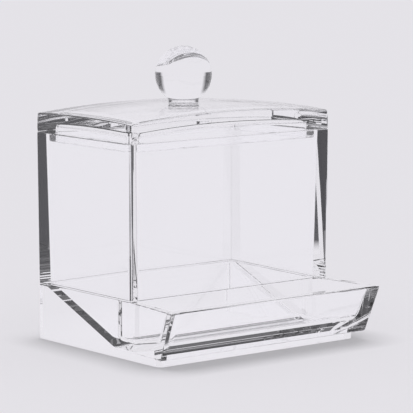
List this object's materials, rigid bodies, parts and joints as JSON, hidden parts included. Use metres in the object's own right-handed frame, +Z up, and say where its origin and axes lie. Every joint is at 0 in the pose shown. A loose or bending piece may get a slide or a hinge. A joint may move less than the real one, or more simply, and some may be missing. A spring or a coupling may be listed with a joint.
{
  "type": "cotton swab dispenser",
  "caption": "Clear box with a lift-off lid and ball knob; a sloping floor feeds swabs under the front wall into an open tray.",
  "frame": {"origin": "middle of the footprint, on the surface that the foot stands on", "axes": "+Z up; -Y towards the front of the tray; +X to the right seen from the front"},
  "size_m": [0.092, 0.0794, 0.1023],
  "materials": {
    "clear_acrylic": "clear, polished"
  },
  "bodies": {
    "body": {"base_tray": "clear_acrylic", "box_shell": "clear_acrylic"},
    "lid_set": {"lid": "clear_acrylic", "knob": "clear_acrylic"}
  },
  "joints": [
    {"name": "lid_lift", "type": "slide", "parent": "body", "child": "lid_set", "axis": [0, 0, 1], "range_m": [0, 0.06]}
  ]
}
